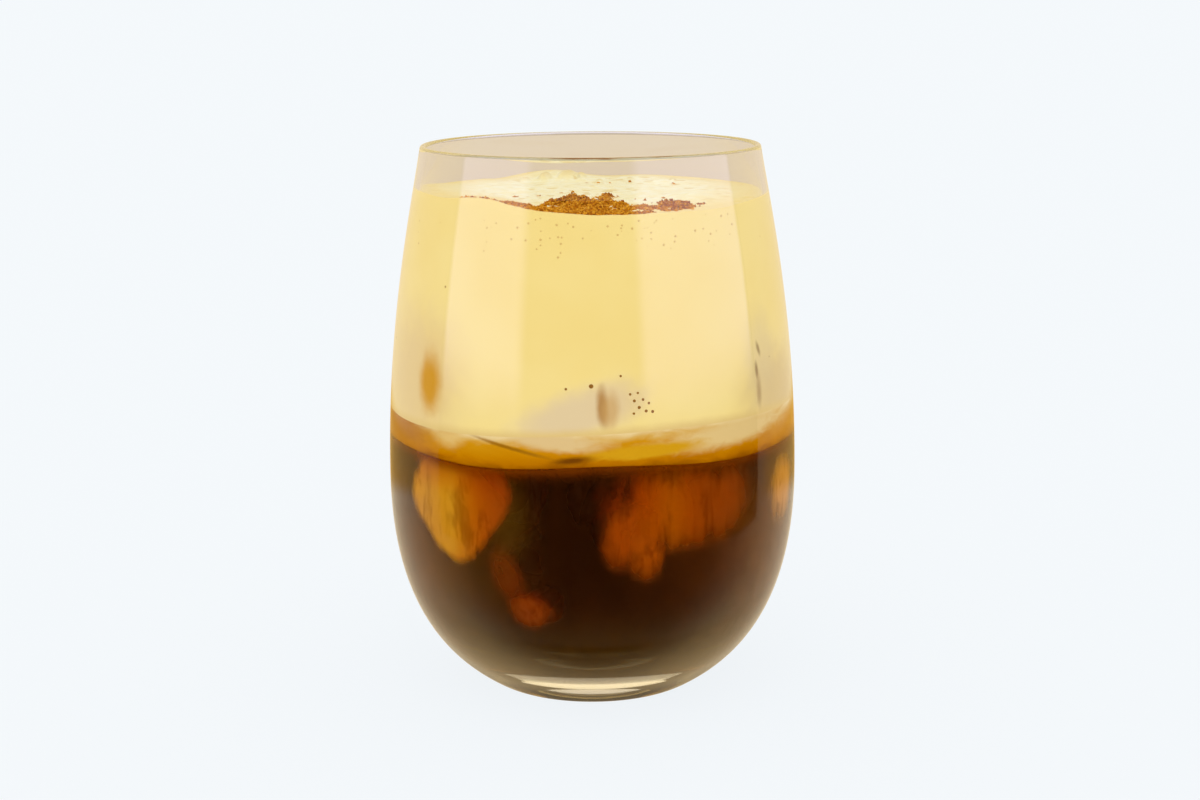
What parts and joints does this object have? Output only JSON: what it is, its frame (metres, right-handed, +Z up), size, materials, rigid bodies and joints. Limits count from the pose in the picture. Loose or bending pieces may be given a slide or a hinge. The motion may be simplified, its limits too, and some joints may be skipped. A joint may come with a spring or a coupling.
{
  "type": "egg coffee",
  "caption": "Iced egg coffee in a stemless glass: dark coffee below, an amber layer where they mix, pale whipped egg cream above and a dusting of cocoa on the foam.",
  "frame": {"origin": "centre of the glass's foot, on the table", "axes": "+Z up along the glass's axis, -Y towards the viewer, +X to the viewer's right"},
  "size_m": [0.092, 0.092, 0.1217],
  "materials": {
    "glass": "clear, polished",
    "coffee": "dark clear liquid with ice in it",
    "amber": "cloudy amber liquid",
    "cream": "smooth whipped cream, foamy on top, dusted with brown cocoa"
  },
  "bodies": {
    "root": {"glass": "glass", "coffee": "coffee", "amber_layer": "amber", "egg_cream": "cream"}
  },
  "joints": []
}
